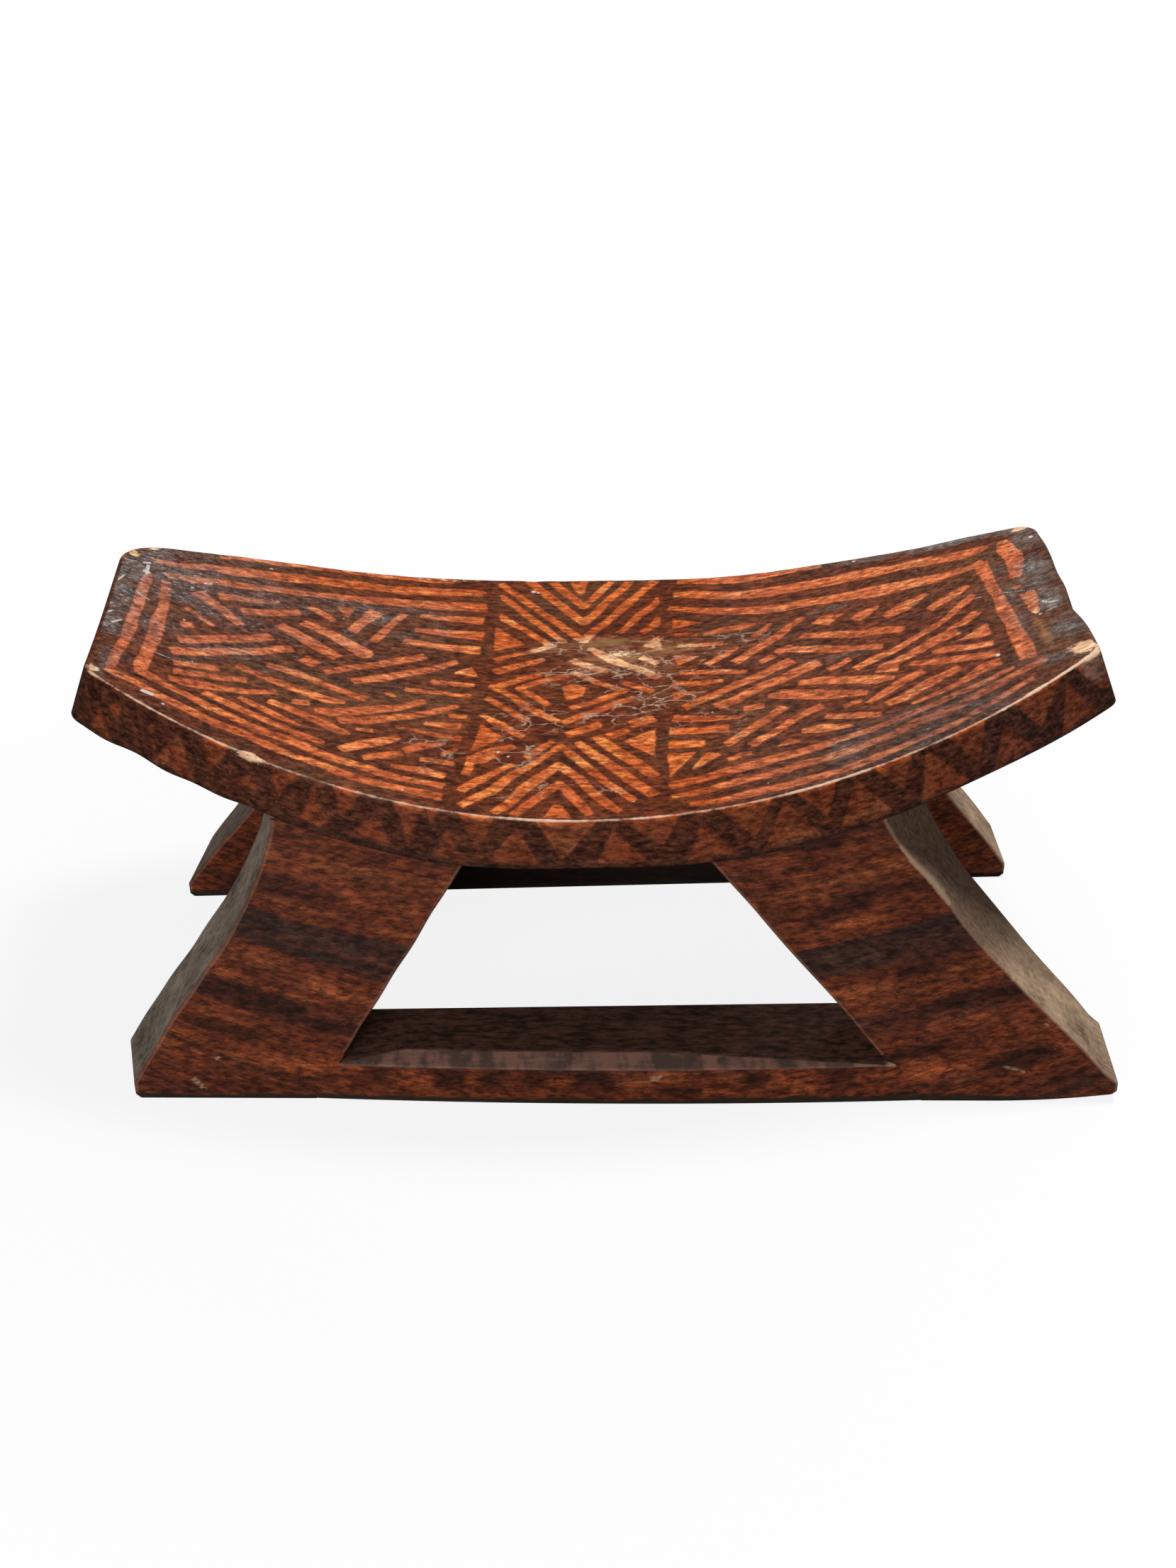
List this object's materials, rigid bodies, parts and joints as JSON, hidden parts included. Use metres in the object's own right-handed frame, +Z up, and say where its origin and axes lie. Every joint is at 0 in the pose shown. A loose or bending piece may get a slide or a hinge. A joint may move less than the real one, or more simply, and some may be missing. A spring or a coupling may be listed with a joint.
{
  "type": "stool",
  "caption": "Low carved wooden stool with a dished seat that turns up at both ends, on splayed legs joined by flat floor runners.",
  "frame": {"origin": "on the floor, at the middle of the whole stool's outline seen from above", "axes": "+X along the seat to its right end, +Y from the front frame to the back frame, +Z up"},
  "size_m": [0.4398, 0.213, 0.1889],
  "materials": {
    "seat_wood": "waxed, with dark burnt line ornament",
    "leg_wood": "oiled, figured grain",
    "runner_wood": "oiled, darkened"
  },
  "bodies": {
    "root": {"seat": "seat_wood", "front_left_leg": "leg_wood", "front_right_leg": "leg_wood", "back_left_leg": "leg_wood", "back_right_leg": "leg_wood", "front_runner": "runner_wood", "back_runner": "runner_wood"}
  },
  "joints": []
}
